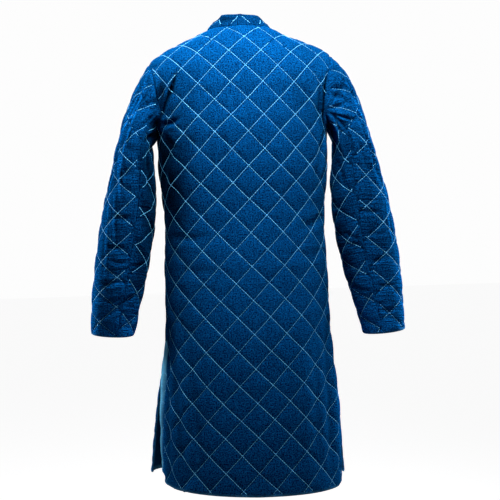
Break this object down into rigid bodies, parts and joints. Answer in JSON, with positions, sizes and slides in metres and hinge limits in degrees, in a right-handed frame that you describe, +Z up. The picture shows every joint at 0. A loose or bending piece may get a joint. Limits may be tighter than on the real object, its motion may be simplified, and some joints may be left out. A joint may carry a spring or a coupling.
{
  "type": "gambeson",
  "caption": "Knee-length quilted arming coat with a low stand collar, long sleeves, side slits and an open front edge to edge, in its worn, hollow form.",
  "frame": {"origin": "on the centre line of the neck, level with the points where the collar meets the shoulders", "axes": "+Z up along the coat's length, -Y to the wearer's front, +X to the wearer's left"},
  "size_m": [0.7481, 0.3138, 1.0929],
  "materials": {
    "quilted_cotton": "blue cotton canvas, matt, diamond quilted over padding",
    "collar_cotton": "the same cloth, in a stand collar"
  },
  "bodies": {
    "root": {"back": "quilted_cotton", "front_left": "quilted_cotton", "front_right": "quilted_cotton", "sleeve_left": "quilted_cotton", "sleeve_right": "quilted_cotton", "collar": "collar_cotton"}
  },
  "joints": []
}
